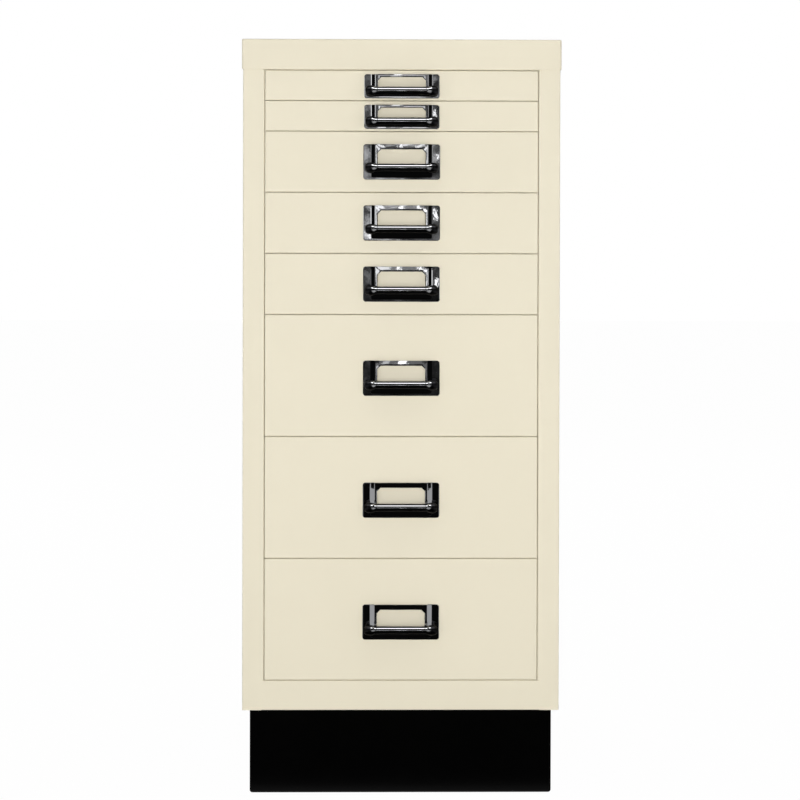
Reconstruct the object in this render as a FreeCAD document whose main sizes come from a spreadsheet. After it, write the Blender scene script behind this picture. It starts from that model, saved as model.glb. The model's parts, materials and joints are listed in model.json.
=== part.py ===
import FreeCAD, Part
import Sketcher
import os
import re

# A free-standing steel cabinet with eight sliding drawers on a recessed plinth.
# Millimetres. +Z is up, the drawers open towards -Y, and the origin is on the floor,
# under the middle of the whole object with its handles.

sizes = {
    # Whole cabinet
    "lid_width": 279.0,
    "lid_depth": 380.0,
    "lid_height": 25.9,
    "lid_overhang": 1.0,
    "header_drop": 0.9,
    "drawer_module": 26.67,
    "bottom_rail_height": 26.0,
    "opening_width": 239.3,
    "steel": 0.9,
    "bend_radius": 1.2,
    "corner_radius": 2.0,
    # Folds of the carcass
    "stile_return": 14.0,
    "rear_flange": 14.0,
    "rail_return": 12.0,
    "floor_upturn": 15.0,
    "rail_lap": 2.0,
    "seam_gap": 0.3,
    "back_rib_width": 16.0,
    "back_rib_height": 2.0,
    "back_rib_inset": 60.0,
    # Plinth
    "plinth_width": 268.0,
    "plinth_height": 81.5,
    "plinth_front_recess": 35.0,
    "plinth_rear_recess": 6.0,
    "plinth_steel": 1.2,
    "plinth_flange": 18.0,
    "plinth_bend": 3.3,
    "screw_radius": 2.5,
    "screw_head_radius": 4.5,
    "screw_head_height": 2.8,
    "screw_reach": 7.0,
    "screw_inset": 30.0,
    "hole_clearance": 0.3,
    # Posts and runners
    "post_width": 20.0,
    "post_steel": 1.0,
    "post_setback": 2.0,
    "runner_steel": 1.0,
    "runner_lip": 7.1,
    "runner_float": 1.6,
    "runner_clearance": 0.4,
    "hook_width": 8.0,
    "hook_depth": 3.0,
    "hook_clearance": 0.25,
    "stop_height": 1.2,
    "stop_inset": 2.7,
    # Drawers
    "front_gap": 0.36,
    "front_side_gap": 0.36,
    "front_rim": 14.0,
    "front_edge_radius": 1.1,
    "tray_steel": 0.8,
    "tray_width": 220.0,
    "tray_length": 342.0,
    "tray_top_drop": 3.0,
    "tray_floor_rise": 1.6,
    "tray_corner_radius": 3.0,
    "tray_flange_gap": 0.7,
    "drawer_travel": 275.0,
    # Handles
    "small_plate_width": 65.7,
    "small_plate_height": 21.0,
    "small_plate_drop": 3.4,
    "small_bar_drop": 11.5,
    "small_window_drop": 2.5,
    "large_plate_width": 67.0,
    "large_plate_height": 30.8,
    "large_bar_drop": 17.3,
    "large_window_drop": 4.4,
    "middle_plate_drop": 11.1,
    "deep_plate_drop": 40.0,
    "plate_steel": 1.0,
    "plate_corner": 2.2,
    "frame_width": 53.6,
    "frame_step": 3.0,
    "frame_stand": 3.0,
    "frame_steel": 1.1,
    "frame_rounding": 1.8,
    "window_width": 41.8,
    "window_chamfer": 3.0,
    "card_width": 46.6,
    "bar_length": 63.0,
    "bar_radius": 3.3,
    "bar_knob_radius": 4.5,
    "bar_knob_length": 5.0,
    "bar_end_chamfer": 1.6,
    "bar_axis_stand": 11.7,
    "web_steel": 1.4,
    "cheek_steel": 1.3,
    "plate_lip": 1.6,
    "scoop_depth": 0.7,
    "tab_width": 2.0,
    "tab_height": 6.0,
    "tab_reach": 4.5,
    "tab_inset": 3.2,
    "clip_width": 7.0,
    "clip_height": 11.0,
    "clip_steel": 0.6,
    "clip_clearance": 0.1,
}

# Drawer heights from the top, in modules, and which handle each one carries
drawers = [
    (1, "small", "small_plate_drop"),
    (1, "small", "small_plate_drop"),
    (2, "large", "middle_plate_drop"),
    (2, "large", "middle_plate_drop"),
    (2, "large", "middle_plate_drop"),
    (4, "large", "deep_plate_drop"),
    (4, "large", "deep_plate_drop"),
    (4, "large", "deep_plate_drop"),
]
module_count = sum(modules for modules, kind, drop in drawers)

# Places that follow from the driving sizes
places = {
    "nothing": "0",
    "handle_reach": "bar_axis_stand + bar_knob_radius",
    "lid_back": "(lid_depth - lid_overhang + handle_reach) / 2",
    "lid_front": "lid_back - lid_depth",
    "face": "lid_front + lid_overhang",
    "rear": "lid_back - lid_overhang",
    "lid_half": "lid_width / 2",
    "body_half": "lid_half - lid_overhang",
    "opening_half": "opening_width / 2",
    "base": "plinth_height",
    "opening_low": "base + bottom_rail_height",
    "opening_high": f"opening_low + {module_count} * drawer_module + front_gap",
    "top": "opening_high + header_drop + lid_height",
    "inside_half": "body_half - steel",
    "inside_rear": "rear - 2 * steel",
    "post_inner": "opening_half + runner_steel",
    "post_outer": "inside_half - steel",
    "front_post_near": "face + stile_return + post_setback",
    "rear_post_near": "inside_rear - back_rib_height - post_width",
    "runner_front": "front_post_near",
    "runner_back": "rear_post_near + post_width",
    "front_half": "opening_half - front_side_gap",
    "tray_front": "face + front_rim",
    "tray_back": "tray_front + tray_length",
    "tray_half": "tray_width / 2",
    "flange_half": "opening_half - tray_flange_gap",
    "stop_place": "runner_front + runner_steel + runner_clearance + drawer_travel",
    "frame_half": "frame_width / 2",
    "bar_axis": "face - bar_axis_stand",
}

doc = FreeCAD.newDocument("MultiDrawerCabinet")
sheet = doc.addObject("Spreadsheet::Sheet", "Sizes")
for row, (alias, millimetres) in enumerate(sizes.items(), start=1):
    sheet.set(f"A{row}", alias)
    sheet.set(f"B{row}", str(millimetres))
    sheet.setAlias(f"B{row}", alias)
doc.recompute()

parts = []


def formula(text):
    # Replaces each name in the text by its place's own formula or its cell in the sheet
    def swap(match):
        word = match.group(0)
        if word in places:
            return "(" + formula(places[word]) + ")"
        if word in sizes:
            return "Sizes." + word
        return word
    return re.sub(r"[a-z_][a-z_0-9]*", swap, text)


def number(text):
    return float(sheet.evalExpression(formula(text)))


def bind(item, prop, text):
    item.setExpression(prop, formula(text))


def new_body(name):
    body = doc.addObject("PartDesign::Body", name)
    body.Label = name
    body.AllowCompound = True
    parts.append(body)
    return body


def origin_plane(body, role):
    return next(item for item in body.Origin.OriginFeatures if item.Role == role)


def draw(body, role, level, outlines, circles=()):
    # Sketch on a plane of the body's origin. Each outline is a closed list of corners and each
    # circle a centre and a radius, all of them formulas.
    # XY_Plane faces +Z, YZ_Plane faces +X and XZ_Plane faces -Y, so a level on it counts from -Y.
    sketch = body.newObject("Sketcher::SketchObject", body.Name + "_sketch")
    sketch.AttachmentSupport = (origin_plane(body, role), [""])
    sketch.MapMode = "FlatFace"
    bind(sketch, "AttachmentOffset.Base.z", f"-({level})" if role == "XZ_Plane" else level)
    for corners in outlines:
        spots = [FreeCAD.Vector(number(across), number(up), 0) for across, up in corners]
        first = sketch.GeometryCount
        count = len(spots)
        for index, spot in enumerate(spots):
            sketch.addGeometry(Part.LineSegment(spot, spots[(index + 1) % count]), False)
        for index in range(count):
            following = first + (index + 1) % count
            sketch.addConstraint(Sketcher.Constraint("Coincident", first + index, 2, following, 1))
        for index, (across, up) in enumerate(corners):
            pin_point(sketch, first + index, 1, across, up)
    for across, up, radius in circles:
        centre = FreeCAD.Vector(number(across), number(up), 0)
        circle = Part.Circle(centre, FreeCAD.Vector(0, 0, 1), number(radius))
        curve = sketch.addGeometry(circle, False)
        pin_point(sketch, curve, 3, across, up)
        rule = sketch.addConstraint(Sketcher.Constraint("Radius", curve, number(radius)))
        bind(sketch, f"Constraints[{rule}]", radius)
    return sketch


def pin_point(sketch, curve, spot, across, up):
    # Holds one point of a curve at its place from the sketch's origin
    for kind, text in (("DistanceX", across), ("DistanceY", up)):
        held = Sketcher.Constraint(kind, -1, 1, curve, spot, number(text))
        bind(sketch, f"Constraints[{sketch.addConstraint(held)}]", text)


def pad(body, role, low, high, outlines, circles=()):
    sketch = draw(body, role, high if role == "XZ_Plane" else low, outlines, circles)
    feature = body.newObject("PartDesign::Pad", body.Name + "_pad")
    feature.Profile = sketch
    bind(feature, "Length", f"({high}) - ({low})")
    doc.recompute()
    return feature


def cut(body, role, low, high, outlines, circles=()):
    before = body.Shape.Volume
    sketch = draw(body, role, high if role == "XZ_Plane" else low, outlines, circles)
    feature = body.newObject("PartDesign::Pocket", body.Name + "_pocket")
    feature.Profile = sketch
    feature.Reversed = True
    bind(feature, "Length", f"({high}) - ({low})")
    doc.recompute()
    if not body.Shape.Volume < before:
        raise RuntimeError(body.Name + ": a pocket removed nothing")
    return feature


def rectangle(left, right, low, high):
    return [(left, low), (right, low), (right, high), (left, high)]


def hexagon(across, up, radius):
    return [
        (f"{across} + {radius} * cos({turn})", f"{up} + {radius} * sin({turn})")
        for turn in range(0, 360, 60)
    ]


def centred(across, up, width, height):
    return rectangle(
        f"{across} - ({width}) / 2", f"{across} + ({width}) / 2",
        f"{up} - ({height}) / 2", f"{up} + ({height}) / 2",
    )


def close(first, second):
    return abs(first - second) < 0.01


def runs_along(edge, axis):
    # True for a straight edge along x, y or z
    if edge.Degenerated or edge.Curve.TypeId != "Part::GeomLine":
        return False
    direction = edge.tangentAt(edge.FirstParameter)
    return abs(abs(getattr(direction, axis)) - 1) < 1e-6


def lies_at(edge, **wanted):
    # True where both ends of the edge have the wanted coordinates
    return all(
        close(getattr(vertex.Point, axis), value)
        for vertex in (edge.Vertexes[0], edge.Vertexes[-1])
        for axis, value in wanted.items()
    )


def round_off(body, radius, wanted):
    # Fillets every edge of the body so far that the test wants
    doc.recompute()
    names = [f"Edge{place}" for place, edge in enumerate(body.Shape.Edges, start=1) if wanted(edge)]
    if not names:
        raise RuntimeError(body.Name + ": no edge to round off")
    feature = body.newObject("PartDesign::Fillet", body.Name + "_fillet")
    feature.Base = (feature.BaseFeature, names)
    bind(feature, "Radius", radius)
    body.Tip = feature
    doc.recompute()
    return feature


def faces_level(face, height):
    # True for a flat face that lies at the height
    return close(face.BoundBox.ZMin, height) and close(face.BoundBox.ZMax, height)


def hollow_out(body, thickness, wanted):
    # Leaves a wall of the given thickness and opens the faces that the test wants
    names = [f"Face{place}" for place, face in enumerate(body.Shape.Faces, start=1) if wanted(face)]
    feature = body.newObject("PartDesign::Thickness", body.Name + "_shell")
    feature.Base = (feature.BaseFeature, names)
    feature.Reversed = True
    bind(feature, "Value", thickness)
    body.Tip = feature
    doc.recompute()
    return feature


def sheet_section(corners, thickness, side):
    # Closed section of a folded sheet: the given face, then the same path one thickness away.
    # Folds are square, and side is 1 where the sheet lies left of the path, else -1.
    spots = [(number(across), number(up)) for across, up in corners]
    normals = []
    for (x0, y0), (x1, y1) in zip(spots, spots[1:]):
        length = abs(x1 - x0) + abs(y1 - y0)
        normals.append((round(-(y1 - y0) / length) * side, round((x1 - x0) / length) * side))
    inner = []
    for index, (across, up) in enumerate(corners):
        beside = normals[max(index - 1, 0):index + 1]
        step_x = max(-1, min(1, sum(normal[0] for normal in beside)))
        step_y = max(-1, min(1, sum(normal[1] for normal in beside)))
        inner.append((f"{across} + ({step_x}) * {thickness}", f"{up} + ({step_y}) * {thickness}"))
    return corners + inner[::-1]


def lid():
    body = new_body("lid")
    outer = rectangle("-(lid_half)", "lid_half", "lid_front", "lid_back")
    pad(body, "XY_Plane", "top - lid_height", "top", [outer])
    round_off(body, "corner_radius", lambda edge: runs_along(edge, "z"))
    round_off(body, "bend_radius", lambda edge: lies_at(edge, z=number("top")))
    inner = rectangle("steel - lid_half", "lid_half - steel", "lid_front + steel", "lid_back - steel")
    cut(body, "XY_Plane", "top - lid_height", "top - steel", [inner])


def side_panel(name, side):
    # One sheet folded into the front stile with its return, the side wall and the rear flange
    body = new_body(name)
    path = [
        (f"{side} * opening_half", "face + stile_return"),
        (f"{side} * opening_half", "face"),
        (f"{side} * body_half", "face"),
        (f"{side} * body_half", "rear"),
        (f"{side} * (body_half - rear_flange)", "rear"),
    ]
    pad(body, "XY_Plane", "base", "top - steel", [sheet_section(path, "steel", side)])
    outer_bends = [(number(across), number(up)) for across, up in path[1:4]]

    def is_bend(edge):
        return runs_along(edge, "z") and any(lies_at(edge, x=x, y=y) for x, y in outer_bends)
    round_off(body, "bend_radius", is_bend)
    left, right = ordered(f"{side} * (opening_half - steel)", f"{side} * (opening_half + rail_lap)")
    for low, high in (("base - steel", "opening_low"), ("opening_high", "top")):
        notch = rectangle(left, right, low, high)
        cut(body, "XZ_Plane", "face - steel", "face + stile_return + steel", [notch])


def header_rail():
    # Channel behind the lid's fascia that ties the tops of the two stiles together
    body = new_body("header_rail")
    path = [
        ("face + rail_return", "opening_high"),
        ("face", "opening_high"),
        ("face", "top - steel"),
        ("face + rail_return", "top - steel"),
    ]
    half = "opening_half + rail_lap"
    pad(body, "YZ_Plane", f"-({half})", half, [sheet_section(path, "steel", -1)])
    folds = [(number(along), number(up)) for along, up in path[1:3]]
    round_off(body, "bend_radius", lambda edge: any(lies_at(edge, y=y, z=z) for y, z in folds))


def bottom_panel():
    # Floor pan with a deep front rail between the stiles and upturned sides and rear
    body = new_body("bottom_panel")
    half = "opening_half + rail_lap"
    behind_stile = "face + stile_return + seam_gap"
    pan = [
        ("-(inside_half)", "base + floor_upturn"),
        ("-(inside_half)", "base"),
        ("inside_half", "base"),
        ("inside_half", "base + floor_upturn"),
    ]
    pad(body, "XZ_Plane", behind_stile, "inside_rear", [sheet_section(pan, "steel", 1)])
    rail = [
        ("face + rail_return", "opening_low"),
        ("face", "opening_low"),
        ("face", "base"),
        (behind_stile, "base"),
    ]
    pad(body, "YZ_Plane", f"-({half})", half, [sheet_section(rail, "steel", 1)])
    upturn = rectangle("-(inside_half)", "inside_half", "base", "base + floor_upturn")
    pad(body, "XZ_Plane", "inside_rear - steel", "inside_rear", [upturn])
    folds = [(number(along), number(up)) for along, up in rail[1:3]]
    round_off(body, "bend_radius", lambda edge: any(lies_at(edge, y=y, z=z) for y, z in folds))
    holes = [(x, y, "screw_radius + hole_clearance") for x, y in screw_places()]
    cut(body, "XY_Plane", "base - 1", "base + 2 * steel", [], holes)


def back_panel():
    # Flat sheet against the side panels' rear flanges, stiffened by two pressed vertical ribs
    body = new_body("back_panel")
    plate = rectangle("-(inside_half)", "inside_half", "base + steel", "top - steel")
    pad(body, "XZ_Plane", "inside_rear", "inside_rear + steel", [plate])
    for side in (-1, 1):
        middle = f"{side} * (inside_half - back_rib_inset)"
        rib = rectangle(
            f"{middle} - back_rib_width / 2", f"{middle} + back_rib_width / 2",
            "base + back_rib_inset", "top - back_rib_inset",
        )
        pad(body, "XZ_Plane", "inside_rear - back_rib_height", "inside_rear", [rib])
    ribs_near = number("inside_rear - back_rib_height")
    round_off(body, "back_rib_height * 0.9", lambda edge: lies_at(edge, y=ribs_near))


def screw_places():
    across = "plinth_width / 2 - plinth_flange / 2"
    near = "face + plinth_front_recess + screw_inset"
    far = "rear - plinth_rear_recess - screw_inset"
    return [(f"{side} * ({across})", along) for side in (-1, 1) for along in (near, far)]


def plinth():
    # Folded frame with flanges turned in at the floor and under the cabinet
    body = new_body("plinth")
    half = "plinth_width / 2"
    near = "face + plinth_front_recess"
    far = "rear - plinth_rear_recess"
    pad(body, "XY_Plane", "nothing", "base", [rectangle(f"-({half})", half, near, far)])
    round_off(body, "plinth_bend", lambda edge: lies_at(edge, z=0))

    def ring(inset):
        return rectangle(f"{inset} - {half}", f"{half} - {inset}", f"{near} + {inset}", f"{far} - {inset}")
    cut(body, "XY_Plane", "plinth_steel", "base - plinth_steel", [ring("plinth_steel")])
    cut(body, "XY_Plane", "-(plinth_steel)", "base + plinth_steel", [ring("plinth_flange")])
    holes = [(x, y, "screw_radius + hole_clearance") for x, y in screw_places()]
    cut(body, "XY_Plane", "base - 2 * plinth_steel", "base + plinth_steel", [], holes)


def plinth_screws():
    # Four screws from inside the plinth up through the cabinet's floor
    body = new_body("plinth_screws")
    under = "base - plinth_steel"
    heads = [hexagon(x, y, "screw_head_radius") for x, y in screw_places()]
    shanks = [(x, y, "screw_radius") for x, y in screw_places()]
    pad(body, "XY_Plane", f"{under} - screw_head_height", under, heads)
    pad(body, "XY_Plane", under, f"{under} + screw_reach", [], shanks)


def runner_level(drawer):
    # Top face of the drawer's sliding flanges
    return f"{front_top(drawer)} - tray_top_drop"


def front_top(drawer):
    above = sum(modules for modules, kind, drop in drawers[:drawer])
    return f"opening_high - front_gap - {above} * drawer_module"


def front_low(drawer):
    return f"{front_top(drawer)} - {drawers[drawer][0]} * drawer_module + front_gap"


def hook_levels(drawer):
    low = f"{runner_level(drawer)} - tray_steel - runner_clearance - runner_steel"
    high = f"{runner_level(drawer)} + runner_float + runner_steel"
    return low, high


def hook_span(near):
    middle = f"{near} + post_width / 2"
    return f"{middle} - hook_width / 2", f"{middle} + hook_width / 2"


def post(name, side, near):
    # Upright channel with a slot for each runner's hook
    body = new_body(name)
    path = [
        (f"{side} * post_outer", near),
        (f"{side} * post_inner", near),
        (f"{side} * post_inner", f"{near} + post_width"),
        (f"{side} * post_outer", f"{near} + post_width"),
    ]
    pad(body, "XY_Plane", "base + steel", "top - steel", [sheet_section(path, "post_steel", -side)])
    slots = []
    for drawer in range(len(drawers)):
        low, high = hook_levels(drawer)
        start, end = hook_span(near)
        slots.append(rectangle(
            f"{start} - hook_clearance", f"{end} + hook_clearance",
            f"{low} - hook_clearance", f"{high} + hook_clearance",
        ))
    low, high = ordered(f"{side} * (post_inner - post_steel)", f"{side} * (post_inner + 2 * post_steel)")
    cut(body, "YZ_Plane", low, high, slots)


def ordered(first, second):
    return (first, second) if number(first) < number(second) else (second, first)


def runner(drawer, name, side):
    # Channel open towards the drawer, hooked into the two posts, with a stop lip at its front
    body = new_body(name)
    low, high = hook_levels(drawer)
    path = [
        (f"{side} * (opening_half - runner_lip)", high),
        (f"{side} * (opening_half + runner_steel)", high),
        (f"{side} * (opening_half + runner_steel)", low),
        (f"{side} * (opening_half - runner_lip)", low),
    ]
    pad(body, "XZ_Plane", "runner_front", "runner_back", [sheet_section(path, "runner_steel", -side)])
    left, right = ordered(f"{side} * (opening_half - runner_lip)", f"{side} * opening_half")
    lip = rectangle(left, right, f"{runner_level(drawer)} + runner_clearance", f"{high} - runner_steel / 2")
    pad(body, "XZ_Plane", "runner_front", "runner_front + runner_steel", [lip])
    near, far = ordered(f"{side} * (post_inner - runner_steel / 2)", f"{side} * (post_inner + hook_depth)")
    hooks = [
        rectangle(*hook_span(post_near), low, high)
        for post_near in ("front_post_near", "rear_post_near")
    ]
    pad(body, "YZ_Plane", near, far, hooks)


def tray(drawer, name):
    # Pressed box with flanges that slide in the runners and a raised stop on each flange
    body = new_body(name)
    level = runner_level(drawer)
    floor = f"{front_low(drawer)} + tray_floor_rise"
    outer = rectangle("-(tray_half)", "tray_half", "tray_front", "tray_back")
    pad(body, "XY_Plane", floor, level, [outer])
    bottom = number(floor)
    round_off(body, "tray_corner_radius", lambda edge: lies_at(edge, z=bottom))
    hollow_out(body, "tray_steel", lambda face: faces_level(face, number(level)))
    for side in (-1, 1):
        left, right = ordered(f"{side} * (tray_half - tray_steel / 2)", f"{side} * flange_half")
        flange = rectangle(
            left, right, "tray_front + tray_corner_radius", "tray_back - tray_corner_radius"
        )
        pad(body, "XY_Plane", f"{level} - tray_steel", level, [flange])
        left, right = ordered(f"{side} * (tray_half + stop_inset)", f"{side} * flange_half")
        stop = rectangle(left, right, "stop_place", "stop_place + tray_steel")
        pad(body, "XY_Plane", f"{level} - tray_steel / 2", f"{level} + stop_height", [stop])


def plate_top(drawer):
    return f"{front_top(drawer)} - {drawers[drawer][2]}"


def tab_outlines(drawer, growth):
    # One rectangle for each of the handle's two fixing tabs, grown by the given size all round
    kind = drawers[drawer][1]
    up = f"{plate_top(drawer)} - {kind}_plate_height / 2"
    return [centred(
        f"{side} * ({kind}_plate_width / 2 - tab_inset)", up,
        f"tab_width + 2 * {growth}", f"tab_height + 2 * {growth}",
    ) for side in (-1, 1)]


def drawer_front(drawer, name):
    # Shallow pan folded back on all four sides, slotted for the handle's two tabs
    body = new_body(name)
    low = front_low(drawer)
    high = front_top(drawer)
    outer = rectangle("-(front_half)", "front_half", low, high)
    pad(body, "XZ_Plane", "face", "face + front_rim", [outer])
    face = number("face")
    round_off(body, "front_edge_radius", lambda edge: lies_at(edge, y=face))
    inner = rectangle("steel - front_half", "front_half - steel", f"{low} + steel", f"{high} - steel")
    cut(body, "XZ_Plane", "face + steel", "face + front_rim", [inner])
    cut(body, "XZ_Plane", "face - steel", "face + 2 * steel", tab_outlines(drawer, "hole_clearance"))


def handle(drawer, name):
    # Label frame and pull in one casting: a flat plate with a raised frame round the card
    # window, and below it a bar with rounded ends on a sloping web between two cheeks, over
    # a shallow scoop for the fingertips
    body = new_body(name)
    kind = drawers[drawer][1]
    high = plate_top(drawer)
    low = f"{high} - {kind}_plate_height"
    half = f"{kind}_plate_width / 2"
    bar_level = f"{high} - {kind}_bar_drop - bar_radius"
    root = f"{bar_level} + bar_radius / 5"
    plate = rectangle(f"-({half})", half, low, high)
    pad(body, "XZ_Plane", "face - plate_steel", "face", [plate])
    round_off(body, "plate_corner", lambda edge: runs_along(edge, "y"))

    step_foot = "face - plate_steel"
    step_top = "face - frame_stand"
    raised = [
        ("-(frame_half)", "face - plate_steel / 2"),
        ("-(frame_half)", step_foot),
        ("frame_step - frame_half", step_top),
        ("frame_half - frame_step", step_top),
        ("frame_half", step_foot),
        ("frame_half", "face - plate_steel / 2"),
    ]
    pad(body, "XY_Plane", f"{root} - web_steel", high, [raised])
    crests = (number("frame_half - frame_step"), number("frame_step - frame_half"))
    out = number(step_top)

    def is_crest(edge):
        return runs_along(edge, "z") and any(lies_at(edge, x=x, y=out) for x in crests)
    round_off(body, "frame_rounding", is_crest)

    web = [
        ("face - plate_steel / 2", root),
        (step_top, root),
        ("bar_axis + bar_radius / 2", f"{bar_level} + bar_radius * 0.85"),
        ("bar_axis", f"{bar_level} + bar_radius / 3"),
        (step_top, f"{root} - web_steel"),
        ("face - plate_steel / 2", f"{root} - web_steel"),
    ]
    pad(body, "YZ_Plane", "-(frame_half)", "frame_half", [web])
    cheek = [
        ("face - plate_steel / 2", root),
        ("bar_axis", f"{bar_level} + bar_radius / 3"),
        ("bar_axis", f"{bar_level} - bar_radius * 0.8"),
        ("face - plate_steel / 2", f"{bar_level} - bar_radius * 0.8"),
    ]
    for side in (-1, 1):
        left, right = ordered(f"{side} * (frame_half - cheek_steel)", f"{side} * frame_half")
        pad(body, "YZ_Plane", left, right, [cheek])

    bar(body, bar_level)

    scoop = [
        (step_foot, f"{root} - web_steel"),
        (step_foot, f"{low} + plate_lip"),
        (f"{step_foot} + scoop_depth", f"{low} + plate_lip"),
    ]
    cut(body, "YZ_Plane", "cheek_steel - frame_half", "frame_half - cheek_steel", [scoop])

    window_low = f"{bar_level} + bar_radius / 3"
    window_high = f"{high} - {kind}_window_drop"
    window = [
        ("-(window_width / 2)", window_low),
        ("window_width / 2", window_low),
        ("window_width / 2", f"{window_high} - window_chamfer"),
        ("window_width / 2 - window_chamfer", window_high),
        ("window_chamfer - window_width / 2", window_high),
        ("-(window_width / 2)", f"{window_high} - window_chamfer"),
    ]
    cut(body, "XZ_Plane", "face - 2 * frame_stand", "face + plate_steel", [window])
    card = rectangle("-(card_width / 2)", "card_width / 2", window_low, f"{high} + plate_steel")
    cut(body, "XZ_Plane", "face - frame_stand + frame_steel", "face + plate_steel", [card])
    pad(body, "XZ_Plane", "face - plate_steel / 2", "face + tab_reach", tab_outlines(drawer, "nothing"))


def bar(body, level):
    # Turned about its own long axis: slim between two rounded knobs
    end = "bar_length / 2"
    knob = f"{end} - bar_knob_length"
    neck = f"{knob} - bar_knob_length / 2"
    right_half = [
        (neck, "bar_radius"),
        (knob, "bar_knob_radius"),
        (f"{end} - bar_end_chamfer", "bar_knob_radius"),
        (end, "bar_knob_radius - bar_end_chamfer"),
        (end, "nothing"),
    ]
    left_half = [(f"-({along})", radius) for along, radius in right_half]
    profile = right_half + left_half[::-1]
    sketch = draw(body, "XY_Plane", level, [profile])
    bind(sketch, "AttachmentOffset.Base.y", "bar_axis")
    feature = body.newObject("PartDesign::Revolution", body.Name + "_bar")
    feature.Profile = sketch
    feature.ReferenceAxis = (sketch, ["H_Axis"])
    feature.Angle = 360
    doc.recompute()


def clips(drawer, name):
    # Two spring clips that hold the handle's tabs behind the drawer front
    body = new_body(name)
    kind = drawers[drawer][1]
    up = f"{plate_top(drawer)} - {kind}_plate_height / 2"
    plates = [
        centred(f"{side} * ({kind}_plate_width / 2 - tab_inset)", up, "clip_width", "clip_height")
        for side in (-1, 1)
    ]
    slots = tab_outlines(drawer, "clip_clearance")
    pad(body, "XZ_Plane", "face + steel", "face + steel + clip_steel", plates + slots)


lid()
side_panel("left_side_panel", -1)
side_panel("right_side_panel", 1)
header_rail()
bottom_panel()
back_panel()
plinth()
plinth_screws()
for side_name, side in (("left", -1), ("right", 1)):
    post(f"{side_name}_front_post", side, "front_post_near")
    post(f"{side_name}_rear_post", side, "rear_post_near")
    for drawer in range(len(drawers)):
        runner(drawer, f"{side_name}_runner_{drawer + 1}", side)
for drawer in range(len(drawers)):
    tray(drawer, f"drawer_{drawer + 1}_tray")
    drawer_front(drawer, f"drawer_{drawer + 1}_front")
    handle(drawer, f"drawer_{drawer + 1}_handle")
    clips(drawer, f"drawer_{drawer + 1}_handle_clips")

doc.recompute()
for item in doc.Objects:
    if "Invalid" in item.State or "Error" in item.State:
        raise RuntimeError(item.Label + " was not made: " + ", ".join(item.State))
for body in parts:
    if body.Shape.isNull() or not body.Shape.isValid():
        raise RuntimeError(body.Label + " has no valid shape")

os.makedirs("parts", exist_ok=True)
for body in parts:
    body.Shape.exportStep(f"parts/{body.Label}.step")
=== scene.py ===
import json
import math

import bpy
from mathutils import Matrix, Vector

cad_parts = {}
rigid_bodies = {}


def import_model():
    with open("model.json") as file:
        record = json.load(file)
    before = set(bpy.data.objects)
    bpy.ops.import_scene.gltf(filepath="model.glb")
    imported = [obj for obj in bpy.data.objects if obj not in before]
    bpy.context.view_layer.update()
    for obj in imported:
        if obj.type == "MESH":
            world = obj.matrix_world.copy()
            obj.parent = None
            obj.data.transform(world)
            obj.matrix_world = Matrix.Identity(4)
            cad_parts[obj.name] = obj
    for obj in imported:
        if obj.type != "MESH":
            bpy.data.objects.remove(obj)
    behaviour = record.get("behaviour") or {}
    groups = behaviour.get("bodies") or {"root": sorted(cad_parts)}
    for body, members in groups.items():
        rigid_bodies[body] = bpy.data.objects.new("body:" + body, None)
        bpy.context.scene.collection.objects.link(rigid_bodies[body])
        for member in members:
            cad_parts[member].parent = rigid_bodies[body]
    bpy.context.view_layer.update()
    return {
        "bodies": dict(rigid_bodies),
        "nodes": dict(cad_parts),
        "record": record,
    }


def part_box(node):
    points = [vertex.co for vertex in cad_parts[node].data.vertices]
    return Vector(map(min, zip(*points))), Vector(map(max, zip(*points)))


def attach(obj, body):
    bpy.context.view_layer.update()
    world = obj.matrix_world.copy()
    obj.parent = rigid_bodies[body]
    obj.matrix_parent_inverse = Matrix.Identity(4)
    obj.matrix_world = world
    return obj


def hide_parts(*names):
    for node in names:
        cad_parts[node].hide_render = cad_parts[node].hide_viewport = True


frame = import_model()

drawerCount = sum(1 for body in frame["bodies"] if body.startswith("drawer_"))
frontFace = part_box("drawer_1_front")[0].y  # the plane of the drawer fronts
white = (1, 1, 1, 1)
print("frame loaded:", len(frame["nodes"]), "nodes,", drawerCount, "drawers")


class Wire:
    # one output of a node; sums and products of wires add Math nodes
    def __init__(self, shop, socket):
        self.shop = shop
        self.socket = socket

    def maths(self, operation, first, second):
        return self.shop.node("ShaderNodeMath", {"operation": operation}, [first, second])

    def __add__(self, other):
        return self.maths("ADD", self, other)

    def __radd__(self, other):
        return self.maths("ADD", other, self)

    def __mul__(self, other):
        return self.maths("MULTIPLY", self, other)

    def __rmul__(self, other):
        return self.maths("MULTIPLY", other, self)


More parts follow.
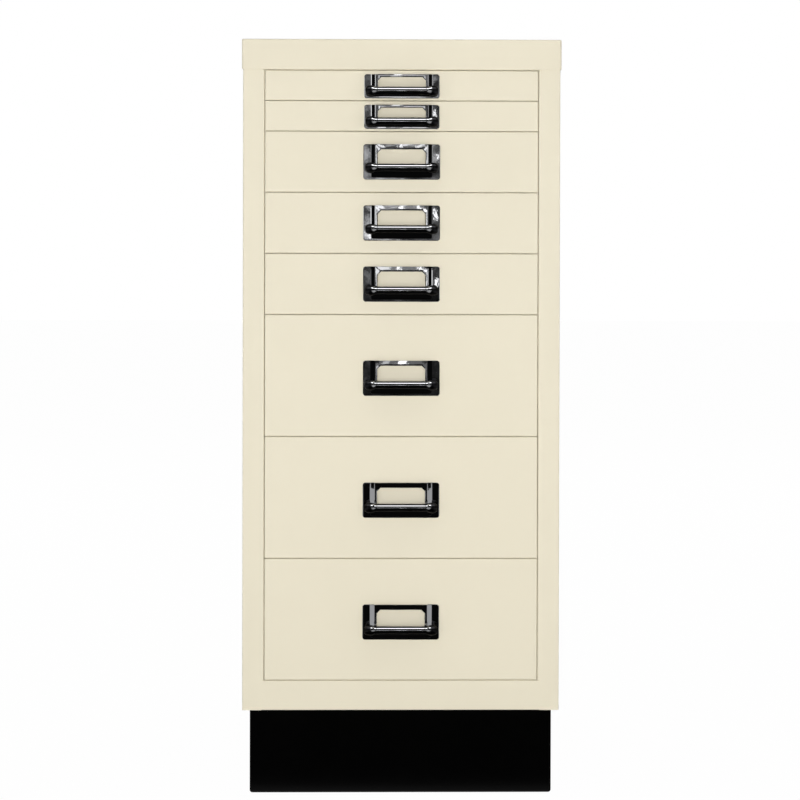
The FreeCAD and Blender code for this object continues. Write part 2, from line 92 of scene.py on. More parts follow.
class Shop:
    # makes one material, or the world, and hands out its nodes
    def __init__(self, name, world=False):
        self.holder = (bpy.data.worlds if world else bpy.data.materials).new(name)
        self.holder.use_nodes = True
        self.tree = self.holder.node_tree
        self.tree.nodes.clear()
        self.outputKind = "ShaderNodeOutputWorld" if world else "ShaderNodeOutputMaterial"

    def node(self, kind, settings=None, inputs=None, output=0):
        made = self.tree.nodes.new(kind)
        for name, value in (settings or {}).items():
            if name == "stops":
                for place, colour in value:
                    made.color_ramp.elements.new(place).color = colour
                made.color_ramp.elements.remove(made.color_ramp.elements[0])
                made.color_ramp.elements.remove(made.color_ramp.elements[-1])
            else:
                setattr(made, name, value)
        entries = inputs.items() if isinstance(inputs, dict) else enumerate(inputs or [])
        for name, value in entries:
            if isinstance(value, Wire):
                self.tree.links.new(value.socket, made.inputs[name])
            else:
                made.inputs[name].default_value = value
        return Wire(self, made.outputs[output])

    def part(self, vector, axis):
        return self.node("ShaderNodeSeparateXYZ", None, [vector], output=axis)

    def spread(self, value, start, end, low=0.0, high=1.0):
        # carries the range from start to end over to low and high, and stops there
        return self.node("ShaderNodeMapRange", None, [value, start, end, low, high])

    def noise(self, scale, detail, roughness=0.5):
        place = self.node("ShaderNodeTexCoord", output="Object")
        sockets = {"Vector": place, "Scale": scale, "Detail": detail, "Roughness": roughness}
        return self.node("ShaderNodeTexNoise", None, sockets)

    def blend(self, amount, low, high):
        # colours mixed by a value from 0 to 1
        return self.node("ShaderNodeMix", {"data_type": "RGBA"}, {0: amount, 6: low, 7: high}, output=2)

    def bump(self, height, depth, strength):
        sockets = {"Height": height, "Distance": depth, "Strength": strength}
        return self.node("ShaderNodeBump", None, sockets)

    def glow(self, colour, strength):
        return self.node("ShaderNodeEmission", None, {"Color": colour, "Strength": strength})

    def seenRays(self):
        # 1 for what is seen straight, in a mirror or through glass, and 0 for what only lights
        straight = self.node("ShaderNodeLightPath", output="Is Camera Ray")
        mirrored = self.node("ShaderNodeLightPath", output="Is Glossy Ray")
        through = self.node("ShaderNodeLightPath", output="Is Transmission Ray")
        return straight + mirrored + through

    def finish(self, **sockets):
        inputs = {name.replace("_", " "): value for name, value in sockets.items()}
        return self.show(self.node("ShaderNodeBsdfPrincipled", None, inputs))

    def show(self, shader):
        output = self.tree.nodes.new(self.outputKind)
        self.tree.links.new(shader.socket, output.inputs["Surface"])
        return self.holder


# pale cream powder coat
cream = {
    "tones": ((0.800, 0.741, 0.583, 1), (0.826, 0.766, 0.607, 1)),
    "drift": (14.0, 2.0),  # a noise's scale and detail, and its roughness if there is a third number
    "speck": (900.0, 2.0),
    "peel": (620.0, 2.0, 0.45),
    "peelBump": (0.00003, 0.6),  # depth in metres, and strength
    "roughness": (0.36, 0.10),  # least, and what the specks add
}


def creamPaint():
    shop = Shop("creamPaint")
    drift = shop.noise(*cream["drift"])
    speck = shop.noise(*cream["speck"])
    peel = shop.noise(*cream["peel"])
    least, added = cream["roughness"]
    return shop.finish(
        Base_Color=shop.blend(drift, *cream["tones"]), Roughness=least + added * speck,
        Normal=shop.bump(peel, *cream["peelBump"]),
    )


# bright chromium plate
chrome = {
    "bright": (0.58, 0.585, 0.60, 1),
    # dark tone of the painted shade, standing in for dark surroundings mirrored where the chrome faces down,
    # aside or steeply up, and on the knobs
    "shadeTone": (0.035, 0.035, 0.038, 1),
    "roughness": (0.004, 0.022, 0.3),  # least, what smears add, and what the painted-shade places add
    "edgeTint": (0.4, 0.4, 0.4, 1),
    "smear": (160.0, 4.0, 0.6),
    "ripple": (230.0, 2.0),
    "rippleBump": (0.00004, 0.1),
    "facingDown": (-0.22, -0.50),  # the normal's Z, from where the painted shade begins to where it is full
    # painted shade also where the chrome faces steeply up
    "facingUp": (0.72, 0.84),
    "facingAside": (0.6, 0.8),  # the normal's X, to either side
    "knobFrom": (0.0256, 0.0266),  # metres to either side of the middle, where the knobs' painted shade begins
    "knobAhead": (0.0056, 0.0046),  # metres before the drawer fronts
}


def chromePlate():
    # painted shade: the chrome's colour is darkened where it faces down, aside or steeply up, and on the
    # bar's knobs, so these places mirror dark
    shop = Shop("chromePlate")
    smear = shop.noise(*chrome["smear"])
    ripple = shop.noise(*chrome["ripple"])
    normal = shop.node("ShaderNodeNewGeometry", output="Normal")
    place = shop.node("ShaderNodeTexCoord", output="Object")
    rise = shop.part(normal, "Z")
    across = shop.part(normal, "X")
    sideways = shop.part(place, "X")
    below = shop.spread(rise, *chrome["facingDown"])
    above = shop.spread(rise, *chrome["facingUp"])
    aside = shop.spread(across * across, *[edge ** 2 for edge in chrome["facingAside"]])
    knob = shop.spread(sideways * sideways, *[reach ** 2 for reach in chrome["knobFrom"]])
    ahead = shop.spread(shop.part(place, "Y"), *[frontFace - gap for gap in chrome["knobAhead"]], 1.0, 0.0)
    # painted shade on faces turned down, aside or steeply up, and on the knobs
    shadeSum = below + above + aside + knob * ahead
    paintedShade = shop.node("ShaderNodeMath", {"operation": "MINIMUM"}, [shadeSum, 1.0])
    least, smeared, shadeRoughness = chrome["roughness"]
    return shop.finish(
        Base_Color=shop.blend(paintedShade, chrome["bright"], chrome["shadeTone"]), Metallic=1.0,
        Roughness=least + smeared * smear + shadeRoughness * paintedShade, Specular_Tint=chrome["edgeTint"],
        Normal=shop.bump(ripple, *chrome["rippleBump"]),
    )


# satin black powder coat
black = {
    "tones": ((0.0004, 0.0004, 0.0004, 1), (0.0009, 0.0009, 0.0009, 1)),
    "drift": (22.0, 3.0),
    "grain": (1100.0, 3.0, 0.55),
    "grainBump": (0.00004, 0.5),
    "roughness": (0.48, 0.12),  # least, and what the grain adds
    "shine": 0.08,
}


def blackPaint():
    shop = Shop("blackPaint")
    grain = shop.noise(*black["grain"])
    drift = shop.noise(*black["drift"])
    least, added = black["roughness"]
    return shop.finish(
        Base_Color=shop.blend(drift, *black["tones"]), Roughness=least + added * grain,
        Specular_IOR_Level=black["shine"],
        Normal=shop.bump(grain, *black["grainBump"]),
    )


# bright zinc plate with its spangle
zinc = {
    "tones": ((0.47, 0.48, 0.50, 1), (0.62, 0.63, 0.64, 1)),
    "spangleScale": 150.0,
    "roughness": (0.28, 0.16),  # least, and what the spangle adds
}


def zincPlate():
    shop = Shop("zincPlate")
    place = shop.node("ShaderNodeTexCoord", output="Object")
    sockets = {"Vector": place, "Scale": zinc["spangleScale"]}
    spangle = shop.node("ShaderNodeTexVoronoi", None, sockets, output="Color")
    grey = shop.node("ShaderNodeRGBToBW", None, [spangle])
    least, added = zinc["roughness"]
    return shop.finish(
        Base_Color=shop.blend(grey, *zinc["tones"]), Metallic=1.0, Roughness=least + added * grey,
    )


finishes = {
    "cream_paint": creamPaint(), "chrome": chromePlate(),
    "black_paint": blackPaint(), "zinc_steel": zincPlate(),
}
for entry in frame["record"]["subparts"]:
    holder = frame["nodes"][entry["node"]].data.materials
    holder.clear()
    holder.append(finishes[entry["material_slot"]])
print("finishes given to the packed nodes")


def deselectAll():
    if bpy.context.mode != "OBJECT":
        bpy.ops.object.mode_set(mode="OBJECT")
    bpy.ops.object.select_all(action="DESELECT")


def activate(piece):
    deselectAll()
    piece.select_set(True)
    bpy.context.view_layer.objects.active = piece


def applyPlace(name):
    # the new primitive's own coordinates become the scene's
    bpy.ops.object.transform_apply(location=True, rotation=True, scale=True)
    made = bpy.context.object
    made.name = name
    return made


def addBlock(name, low, high):
    # a box between two corners
    deselectAll()
    middle = [(a + b) / 2 for a, b in zip(low, high)]
    bpy.ops.mesh.primitive_cube_add(size=1, location=middle, scale=[b - a for a, b in zip(low, high)])
    return applyPlace(name)


def pick(piece, kind, wanted):
    # goes into edit mode with the wanted corners, edges or faces selected, chosen by their place
    activate(piece)
    bpy.ops.object.mode_set(mode="EDIT")
    bpy.ops.mesh.select_mode(type=kind)
    bpy.ops.mesh.select_all(action="DESELECT")
    bpy.ops.object.mode_set(mode="OBJECT")
    mesh = piece.data
    if kind == "VERT":
        for corner in mesh.vertices:
            corner.select = wanted([corner.co])
    else:
        for item in mesh.edges if kind == "EDGE" else mesh.polygons:
            item.select = wanted([mesh.vertices[i].co for i in item.vertices])
    bpy.ops.object.mode_set(mode="EDIT")


def leaveEdit():
    bpy.ops.object.mode_set(mode="OBJECT")


def close(first, second, slack=2e-5):
    return abs(first - second) < slack


def allAt(spots, **values):
    # whether every corner has these coordinates
    return all(close(getattr(spot, axis), value) for spot in spots for axis, value in values.items())


def extrude(x, y, z):
    bpy.ops.mesh.extrude_region_move(TRANSFORM_OT_translate={"value": (x, y, z)})


def shift(x, y, z):
    bpy.ops.transform.translate(value=(x, y, z))
    leaveEdit()


def bevelEdges(piece, offset, segments, wanted):
    pick(piece, "EDGE", wanted)
    bpy.ops.mesh.bevel(offset=offset, segments=segments, affect="EDGES", clamp_overlap=True)
    leaveEdit()


def combine(piece, tool, operation):
    # welds the tool on, or cuts it out, and removes it
    activate(piece)
    step = piece.modifiers.new(operation, "BOOLEAN")
    step.operation = operation
    step.solver = "EXACT"
    step.object = tool
    bpy.ops.object.modifier_apply(modifier=step.name)
    bpy.data.objects.remove(tool, do_unlink=True)


def joinAll(name, pieces):
    activate(pieces[0])
    for piece in pieces:
        piece.select_set(True)
    bpy.ops.object.join()
    joined = bpy.context.object
    joined.name = name
    return joined


def smooth(piece, degrees=35):
    # rounded edges shade softly and the large faces stay level
    activate(piece)
    bpy.ops.object.shade_smooth_by_angle(angle=math.radians(degrees))
    level = piece.modifiers.new("levelFaces", "WEIGHTED_NORMAL")
    level.keep_sharp = True
    level.weight = 100
    bpy.ops.object.modifier_apply(modifier=level.name)


# the chromed label frame with its pull bar, in metres
handle = {
    "tabReach": 0.0045,
    "tabInset": 0.0032,  # from the plate's end to the tab's middle
    "tabHalfWidth": 0.001,
    "tabHalfHeight": 0.003,
    "sink": 0.0005,  # how far the welded pieces reach into the plate
    "plateSteel": 0.001,
    "plateCorner": 0.0023,
    "plateEdge": 0.0005,
    "plateLip": 0.0016,
    "frameHalf": 0.0268,
    "frameStep": 0.0037,
    "frameStand": 0.003,
    "frameSteel": 0.0011,
    "frameCrest": 0.0003,
    "footStart": 0.0003,  # how far before the plate the frame's sloping side begins to run out
    "footCurve": [  # X and Y from the corner where side and plate would meet
        (-0.00022, -0.00015), (0.0, -0.00007), (0.0002, -0.00002), (0.00042, 0.0),
    ],
    "windowHalf": 0.0209,
    "windowChamfer": 0.003,
    "cardHalf": 0.0233,
    "cutReach": 0.01,  # how far a cutting block stands past the sheet
    "scoopDepth": 0.0007,
    "scoopInset": 0.0002,
    "scoopCorner": 0.0014,
    "barFaces": 40,
    "barRadius": 0.0033,
    "barHalf": 0.0204,
    "barStand": 0.0117,
    "barEnds": [  # half length and radius, out to the knobs' tips
        (0.0214, 0.00332), (0.0226, 0.00344), (0.0236, 0.00378), (0.0246, 0.00422), (0.0256, 0.00444),
        (0.0270, 0.00450), (0.0286, 0.00436), (0.0299, 0.00398), (0.0308, 0.00345), (0.0315, 0.0027),
    ],
    "webSteel": 0.0014,
    "webInset": 0.0004,
    "webReach": 0.5,  # from the bar's middle, in shares of its radius, like the next five
    "webRise": 0.6,
    "rootRise": 0.2,
    "sillRise": 1 / 3,
    "cheekRise": 1 / 3,
    "cheekDrop": 0.8,
    "cheekSteel": 0.0013,
    "small": {"barDrop": 0.0115, "windowDrop": 0.0025, "topRound": 0.001, "windowRound": 0.0006},
    "large": {"barDrop": 0.0173, "windowDrop": 0.0044, "topRound": 0.001, "windowRound": 0.0008},
    "lastSmall": 2,  # the drawers below this one have large handles
}


def handlePlaces(node, kind):
    # the planes and lines that the handle's parts share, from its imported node
    low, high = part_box(node)
    own = handle[kind]
    radius = handle["barRadius"]
    face = high.y - handle["tabReach"]
    barZ = high.z - own["barDrop"] - radius
    root = barZ + radius * handle["rootRise"]
    return {
        "low": low, "high": high, "face": face,
        "flange": face - handle["plateSteel"],
        "front": face - handle["frameStand"],
        "barY": face - handle["barStand"],
        "barZ": barZ, "root": root,
        "brow": root - handle["webSteel"],
        "sill": barZ + radius * handle["sillRise"],
        "head": high.z - own["windowDrop"],
    }


def modelBar(at):
    # a slim bar drawn out at both ends into rounded knobs
    deselectAll()
    bpy.ops.mesh.primitive_cylinder_add(
        vertices=handle["barFaces"], radius=handle["barRadius"], depth=2 * handle["barHalf"],
        location=(0, at["barY"], at["barZ"]), rotation=(0, math.radians(90), 0),
    )
    bar = applyPlace("bar")
    for side in (-1, 1):
        along, size = handle["barHalf"], handle["barRadius"]
        pick(bar, "FACE", lambda spots: allAt(spots, x=side * along))
        for reach, radius in handle["barEnds"]:
            extrude(side * (reach - along), 0, 0)
            ratio = radius / size
            middle = (side * reach, at["barY"], at["barZ"])
            bpy.ops.transform.resize(value=(1, ratio, ratio), center_override=middle)
            along, size = reach, radius
        leaveEdit()
    return bar


def modelWeb(at):
    # the sloping sheet that carries the bar from the foot of the frame
    half = handle["frameHalf"] - handle["webInset"]
    radius = handle["barRadius"]
    low = (-half, at["front"], at["brow"])
    web = addBlock("web", low, (half, at["face"] - handle["sink"], at["root"]))
    pick(web, "FACE", lambda spots: allAt(spots, y=at["front"]))
    outward = at["barY"] + radius * handle["webReach"] - at["front"]
    extrude(0, outward, at["barZ"] + radius * handle["webRise"] - at["root"])
    leaveEdit()
    return web


def modelCheek(at, side):
    # the small gusset at each end of the web
    outer = handle["frameHalf"]
    radius = handle["barRadius"]
    left, right = sorted((side * (outer - handle["cheekSteel"]), side * outer))
    low = (left, at["barY"], at["barZ"] - radius * handle["cheekDrop"])
    cheek = addBlock("cheek", low, (right, at["face"] - handle["sink"], at["root"]))
    pick(cheek, "VERT", lambda spots: allAt(spots, y=at["barY"], z=at["root"]))
    shift(0, 0, at["barZ"] + radius * handle["cheekRise"] - at["root"])
    return cheek


def modelTab(at, side):
    # the tongue that passes through the drawer front
    middle = side * (at["high"].x - handle["tabInset"])
    height = (at["low"].z + at["high"].z) / 2
    half, tall = handle["tabHalfWidth"], handle["tabHalfHeight"]
    low = (middle - half, at["face"] - handle["sink"], height - tall)
    return addBlock("tab", low, (middle + half, at["high"].y, height + tall))


def modelRaised(at, topRound):
    # the frame's block: sloping sides that run out into the plate in a hollow curve
    front, flange, top = at["front"], at["flange"], at["high"].z
    outer = handle["frameHalf"]
    inner = outer - handle["frameStep"]
    start = handle["footStart"]
    base = outer - start * (outer - inner) / (flange - front)
    raised = addBlock("raised", (-base, front, at["brow"]), (base, flange - start, top))
    pick(raised, "FACE", lambda spots: allAt(spots, y=front))
    bpy.ops.transform.resize(value=(inner / base, 1, 1), center_override=(0, front, top))
    pick(raised, "FACE", lambda spots: allAt(spots, y=flange - start))
    level, half = flange - start, base
    for across, out in handle["footCurve"]:
        place, wide = flange + out, outer + across
        extrude(0, place - level, 0)
        bpy.ops.transform.resize(value=(wide / half, 1, 1), center_override=(0, place, top))
        level, half = place, wide
    extrude(0, handle["sink"], 0)
    leaveEdit()
    bevelEdges(raised, handle["frameCrest"], 6, lambda spots: (
        allAt(spots, y=front) and not close(spots[0].z, spots[1].z)))
    bevelEdges(raised, topRound, 4, lambda spots: allAt(spots, y=front, z=top))
    return raised


def cutScoop(plate, at):
    # the shallow hollow behind the bar, with a sharp upper edge
    lip = at["low"].z + handle["plateLip"]
    reach = handle["frameHalf"] - handle["scoopInset"]
    flange = at["flange"]
    scoop = addBlock("scoop", (-reach, flange - handle["scoopInset"], lip), (reach, flange, at["brow"]))
    pick(scoop, "VERT", lambda spots: allAt(spots, y=flange, z=lip))
    shift(0, handle["scoopDepth"], 0)
    bevelEdges(scoop, handle["scoopCorner"], 5, lambda spots: (
        allAt(spots, z=lip) and not close(spots[0].y, spots[1].y)))
    combine(plate, scoop, "DIFFERENCE")
    pick(plate, "EDGE", lambda spots: allAt(spots, y=flange, z=at["brow"]))
    bpy.ops.mesh.mark_sharp()
    leaveEdit()


def cutWindow(plate, at, rounding):
    # the label's window with its two cut corners, and the slot behind it that a label slides into
    half, card, reach = handle["windowHalf"], handle["cardHalf"], handle["cutReach"]
    face, front, sill, head = at["face"], at["front"], at["sill"], at["head"]
    window = addBlock("window", (-half, face - reach, sill), (half, face + reach, head))
    bevelEdges(window, handle["windowChamfer"], 1, lambda spots: (
        allAt(spots, z=head) and not close(spots[0].y, spots[1].y)))
    combine(plate, window, "DIFFERENCE")
    margin = 1e-4
    bevelEdges(plate, rounding, 4, lambda spots: (
        allAt(spots, y=front)
        and all(abs(spot.x) < half + margin and sill - margin < spot.z < head + margin for spot in spots)
        and max(spot.z for spot in spots) > sill + margin))
    slotFront = front + handle["frameSteel"]
    slot = addBlock("slot", (-card, slotFront, sill), (card, face + reach, at["high"].z + reach))
    combine(plate, slot, "DIFFERENCE")


def modelPlate(at, kind):
    low, high, flange = at["low"], at["high"], at["flange"]
    plate = addBlock("plate", (low.x, flange, low.z), (high.x, at["face"], high.z))
    bevelEdges(plate, handle["plateCorner"], 8, lambda spots: not close(spots[0].y, spots[1].y))
    bevelEdges(plate, handle["plateEdge"], 2, lambda spots: allAt(spots, y=flange))
    combine(plate, modelRaised(at, handle[kind]["topRound"]), "UNION")
    cutScoop(plate, at)
    cutWindow(plate, at, handle[kind]["windowRound"])
    return plate


def modelHandle(node, kind):
    at = handlePlaces(node, kind)
    parts = [modelPlate(at, kind), modelBar(at), modelWeb(at)]
    for side in (-1, 1):
        parts.append(modelCheek(at, side))
        parts.append(modelTab(at, side))
    made = joinAll(node + "_chromed", parts)
    smooth(made)
    made.data.materials.clear()
    made.data.materials.append(finishes["chrome"])
    return made


def copyHandle(model, first, node):
    # the same handle again, at the height of another drawer's
    copied = model.copy()
    copied.data = model.data.copy()
    copied.name = node + "_chromed"
    bpy.context.scene.collection.objects.link(copied)
    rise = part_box(node)[1].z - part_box(first)[1].z
    copied.data.transform(Matrix.Translation((0, 0, rise)))
    return copied


def addHandles():
    firsts = {"small": 1, "large": handle["lastSmall"] + 1}
    models = {kind: modelHandle(f"drawer_{drawer}_handle", kind) for kind, drawer in firsts.items()}
    for drawer in range(1, drawerCount + 1):
        kind = "small" if drawer <= handle["lastSmall"] else "large"
        node = f"drawer_{drawer}_handle"
        made = models[kind]
        if drawer != firsts[kind]:
            made = copyHandle(made, f"drawer_{firsts[kind]}_handle", node)
        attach(made, f"drawer_{drawer}")
        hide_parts(node)


addHandles()
print("handles modelled")


# where the photograph was taken from: nearly level, with the lens shifted down
shot = {
    "distance": 2.0,  # from the drawer fronts, in metres like the next four
    "eyeHeight": 0.5145,
    "pictureWidth": 0.6987,  # what the picture covers at the drawer fronts
    "pictureMiddleZ": 0.3531,
    "pictureMiddleX": -0.00105,
    "pitch": 89.42,  # degrees, like the next two
    "roll": -0.14,
    "yaw": -0.95,
    "sensor": 36.0,  # millimetres
}


def addCamera():
    # the lens is shifted until the picture's middle meets its place on the drawer fronts
    view = bpy.data.cameras.new("camera")
    view.sensor_width = shot["sensor"]
    reach = shot["distance"] / shot["pictureWidth"]
    view.lens = shot["sensor"] * reach
    camera = bpy.data.objects.new("camera", view)
    camera.location = (0, frontFace - shot["distance"], shot["eyeHeight"])
    camera.rotation_euler = [math.radians(shot[turn]) for turn in ("pitch", "roll", "yaw")]
    middle = Vector((shot["pictureMiddleX"], frontFace, shot["pictureMiddleZ"]))
    seen = camera.rotation_euler.to_matrix().transposed() @ (middle - camera.location)
    view.shift_x = reach * seen.x / -seen.z
    view.shift_y = reach * seen.y / -seen.z
    bpy.context.scene.collection.objects.link(camera)
    bpy.context.scene.camera = camera


# soft studio light: name, place, aim, width and height, watts
lamps = [
    ("keyLamp", (-1.7, -2.2, 0.6), (0, -0.2, 0.4), (1.0, 1.3), 4.0),
    ("fillLamp", (1.7, -2.2, 0.6), (0, -0.2, 0.4), (1.0, 1.3), 4.0),
    ("topLamp", (0, -0.95, 2.2), (0, -0.75, 0), (1.8, 0.75), 4.0),
    ("frontLamp", (0, -2.45, 0.51), (0, -0.2, -0.31), (0.6, 0.6), 27.5),
    ("backLamp", (-1.8, 2.2, 1.2), (0, 0.1, 0.35), (1.0, 1.0), 22.0),
    ("backLamp", (1.8, 2.2, 1.2), (0, 0.1, 0.35), (1.0, 1.0), 22.0),
]


def addLamp(name, place, aim, size, power):
    lamp = bpy.data.lights.new(name, "AREA")
    lamp.shape = "RECTANGLE"
    lamp.size, lamp.size_y = size
    lamp.energy = power
    holder = bpy.data.objects.new(name, lamp)
    holder.location = place
    holder.rotation_euler = (Vector(aim) - Vector(place)).to_track_quat("-Z", "Y").to_euler()
    holder.visible_glossy = False  # polished metal mirrors the cards below, not the lamps
    bpy.context.scene.collection.objects.link(holder)


# the pale room: a white world and a floor that keeps the cabinet's shadow
room = {
    "worldLight": 0.26,
    "floorSize": 14.0,
    "floorMiddle": (0, 2.0, 0),
    "floorPaint": (0.88, 0.88, 0.88, 1),
    "floorGlow": 0.985,  # the share of plain white in what is seen of the floor
}


def addWorld():
    shop = Shop("studio", world=True)
    seen = shop.node("ShaderNodeBackground", None, {"Color": white, "Strength": 1.0})
    lit = shop.node("ShaderNodeBackground", None, {"Color": white, "Strength": room["worldLight"]})
    both = shop.node("ShaderNodeMixShader", None, [shop.seenRays(), lit, seen])
    bpy.context.scene.world = shop.show(both)


def addFloor():
    deselectAll()
    bpy.ops.mesh.primitive_plane_add(size=room["floorSize"], location=room["floorMiddle"])
    floor = bpy.context.object
    floor.name = "floor"
    shop = Shop("paleFloor")
    matt = shop.node("ShaderNodeBsdfDiffuse", None, {"Color": room["floorPaint"]})
    share = shop.seenRays() * room["floorGlow"]
    both = shop.node("ShaderNodeMixShader", None, [share, matt, shop.glow(white, 1.0)])
    floor.data.materials.append(shop.show(both))


# dark and light cards about the cabinet, in metres, which only polished metal and paint gloss mirror
cards = {
    "darkGlow": 0.004,
    "near": -0.155,
    "far": -3.1,
    "back": 1.0,
    "halfWidth": 2.6,
    "height": 2.7,
    "floorLift": 0.004,
    "paleEdges": [(-1.9, -0.32), (0.32, 1.9)],  # pale floor on both sides of a dark middle
    "paleNear": -0.3,
    "paleFar": -2.4,
    "paleLift": 0.008,
    "paleGlow": 0.5,
    "lineEdges": [(-1.2, -0.13), (-0.046, 0.046), (0.13, 1.2)],  # overhead, for the line along the bars
    "lineNear": -0.62,
    "lineFar": -1.42,
    "lineHeight": 2.1,
    "lineGlow": 2.8,
    "patchReach": 1.1,
    "patchAhead": 0.02,  # before the back card, like the next two
    "veilAhead": 0.03,
    "glintAhead": 0.04,
    "sideInner": 1.15,
    "sideOuter": 2.5,
    "sideTurn": 0.9,  # how much nearer the outer end is
    "cloud": ((16.0, 2.0, 0.6), (0.36, 0.66), (0.15, 1.6)),  # a noise, and what its range is spread to
    "fleck": ((60.0, 2.0, 0.6), (0.42, 0.70), (0.55, 2.4)),
    # height and brightness of what is mirrored left and right of the middle
    "left": [
        (0.09, 0.0), (0.13, 0.03), (0.27, 0.02), (0.32, 0.06), (0.41, 0.10), (0.455, 0.42), (0.545, 0.42),
        (0.585, 0.38), (0.665, 0.36), (0.695, 0.28), (0.73, 0.18), (0.78, 0.18), (0.85, 0.14), (0.94, 0.02),
    ],
    "right": [
        (0.09, 0.0), (0.13, 0.03), (0.27, 0.02), (0.33, 0.07), (0.41, 0.09), (0.54, 0.10), (0.61, 0.14),
        (0.637, 0.60), (0.667, 0.80), (0.685, 0.06), (0.745, 0.06), (0.76, 0.26), (0.82, 0.36), (0.85, 0.24),
        (0.94, 0.02),
    ],
    # side, low edge, high edge, brightness
    "sides": [
        (-1, 0.712, 0.845, 1.5), (-1, 0.60, 0.675, 0.25), (-1, 0.455, 0.535, 1.5), (-1, 0.31, 0.395, 0.2),
        (1, 0.712, 0.845, 0.6), (1, 0.60, 0.675, 0.4), (1, 0.455, 0.535, 0.2), (1, 0.31, 0.395, 1.5),
    ],
    # middle of the foot, middle of the head, half width, low edge, high edge, brightness
    "veils": [
        (-0.003, -0.003, 0.046, 0.757, 0.774, 0.9), (0.030, 0.030, 0.026, 0.680, 0.706, 1.0),
        (0.022, 0.022, 0.024, 0.475, 0.541, 0.35), (0.0, 0.0, 0.047, 0.345, 0.412, 0.3),
        (0.0, 0.0, 0.047, 0.145, 0.214, 0.2),
    ],
    "glints": [
        (-0.007, -0.006, 0.008, 0.776, 0.839, 1.8), (-0.010, -0.009, 0.010, 0.712, 0.750, 1.6),
        (-0.043, -0.043, 0.009, 0.689, 0.706, 1.5), (0.0725, 0.0667, 0.0025, 0.722, 0.744, 1.8),
        (0.001, -0.001, 0.003, 0.610, 0.672, 2.4), (-0.036, -0.054, 0.005, 0.610, 0.672, 1.5),
        (0.033, 0.049, 0.005, 0.610, 0.672, 1.5), (0.0775, 0.0775, 0.0025, 0.632, 0.643, 2.2),
        (0.003, 0.003, 0.004, 0.480, 0.540, 2.4), (-0.036, -0.053, 0.006, 0.480, 0.537, 1.6),
        (0.036, 0.038, 0.005, 0.480, 0.541, 2.2), (0.0755, 0.0662, 0.003, 0.507, 0.534, 2.0),
        (-0.0675, -0.0675, 0.003, 0.463, 0.477, 2.0), (-0.036, -0.053, 0.005, 0.350, 0.412, 1.4),
        (-0.030, -0.033, 0.010, 0.350, 0.401, 1.3), (-0.002, -0.006, 0.004, 0.350, 0.407, 2.2),
        (0.039, 0.042, 0.004, 0.350, 0.412, 2.2), (0.0735, 0.0765, 0.003, 0.363, 0.381, 2.0),
        (0.004, 0.004, 0.009, 0.150, 0.214, 2.2), (-0.031, -0.031, 0.006, 0.150, 0.206, 0.8),
    ],
}


def cardMaterial(name, strength):
    shop = Shop(name)
    return shop.show(shop.glow(white, strength))


def patchMaterial(name, levels):
    # what stands about in the room: blurred lights and darks, brighter or darker with the height
    shop = Shop(name)
    height = shop.part(shop.node("ShaderNodeTexCoord", output="Object"), "Z")
    low, high = levels[0][0], levels[-1][0]
    stops = [((level - low) / (high - low), (glow, glow, glow, 1)) for level, glow in levels]
    shade = shop.node("ShaderNodeValToRGB", {"stops": stops}, [shop.spread(height, low, high)])
    spots = [
        shop.spread(shop.noise(*noise), *found, *wanted)
        for noise, found, wanted in (cards["cloud"], cards["fleck"])
    ]
    return shop.show(shop.glow(shade, spots[0] * spots[1]))


def addCard(name, middle, turn, size, material):
    # a flat card that nothing but a mirror shows
    deselectAll()
    bpy.ops.mesh.primitive_plane_add(size=1, location=middle, rotation=turn)
    bpy.context.object.scale = (*size, 1)
    card = applyPlace(name)
    card.visible_camera = card.visible_diffuse = card.visible_shadow = False
    card.visible_transmission = card.visible_volume_scatter = False
    card.data.materials.append(material)
    return card


def addUpright(name, start, end, low, high, material):
    # stands on the line between two places on the floor
    middle = ((start[0] + end[0]) / 2, (start[1] + end[1]) / 2, (low + high) / 2)
    turn = (math.radians(90), 0, math.atan2(end[1] - start[1], end[0] - start[0]))
    return addCard(name, middle, turn, (math.dist(start, end), high - low), material)


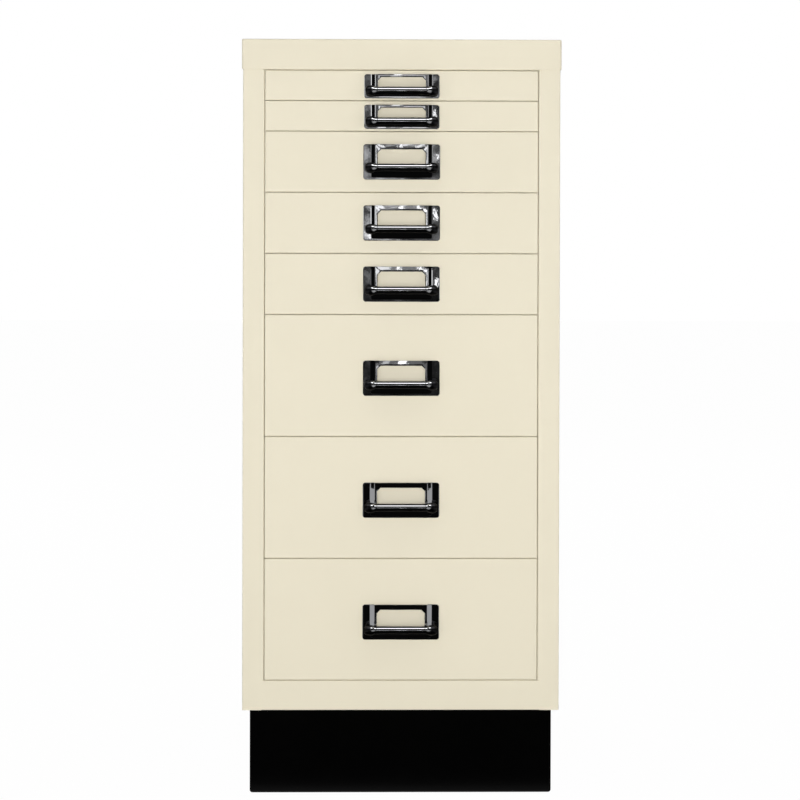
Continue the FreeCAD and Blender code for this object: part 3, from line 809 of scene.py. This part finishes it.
def addFlat(name, edges, near, far, height, material):
    middle = (sum(edges) / 2, (near + far) / 2, height)
    return addCard(name, middle, (0, 0, 0), (edges[1] - edges[0], near - far), material)


def addRoomCards():
    # the dark walls, floor and ceiling, and the pale floor at both sides
    dark = cardMaterial("blackCard", cards["darkGlow"])
    pale = cardMaterial("paleCard", cards["paleGlow"])
    x, far, near, back, top = [cards[key] for key in ("halfWidth", "far", "near", "back", "height")]
    addUpright("backCard", (-x, far), (x, far), 0, top, dark)
    addFlat("floorCard", (-x, x), near, far, cards["floorLift"], dark)
    addFlat("ceilingCard", (-x, x), back, far, top, dark)
    for edge in (-x, x):
        addUpright("sideCard", (edge, far), (edge, back), 0, top, dark)
    for edges in cards["paleEdges"]:
        addFlat("paleCard", edges, cards["paleNear"], cards["paleFar"], cards["paleLift"], pale)


def addPatchCards():
    place = cards["far"] + cards["patchAhead"]
    for name, side in (("left", -1), ("right", 1)):
        levels = cards[name]
        ends = sorted((0, side * cards["patchReach"]))
        material = patchMaterial(name + "Patches", levels)
        addUpright(name + "Card", (ends[0], place), (ends[1], place), levels[0][0], levels[-1][0], material)


def addLightCards():
    line = cardMaterial("lineCard", cards["lineGlow"])
    for edges in cards["lineEdges"]:
        addFlat("lineCard", edges, cards["lineNear"], cards["lineFar"], cards["lineHeight"], line)
    place = cards["far"] + cards["patchAhead"]
    for side, low, high, strength in cards["sides"]:
        start = (side * cards["sideInner"], place)
        end = (side * cards["sideOuter"], place + cards["sideTurn"])
        addUpright("whiteCard", start, end, low, high, cardMaterial("whiteCard", strength))
    for kind in ("veil", "glint"):
        place = cards["far"] + cards[kind + "Ahead"]
        for foot, head, half, low, high, strength in cards[kind + "s"]:
            ends = ((foot - half, place), (foot + half, place))
            card = addUpright("glintCard", *ends, low, high, cardMaterial("glintCard", strength))
            pick(card, "VERT", lambda spots: allAt(spots, z=high))
            shift(head - foot, 0, 0)


addCamera()
addWorld()
addFloor()
addRoomCards()
addPatchCards()
addLightCards()
for lamp in lamps:
    addLamp(*lamp)
bpy.context.scene.view_settings.view_transform = "Standard"
print("camera, floor and lamps in place")
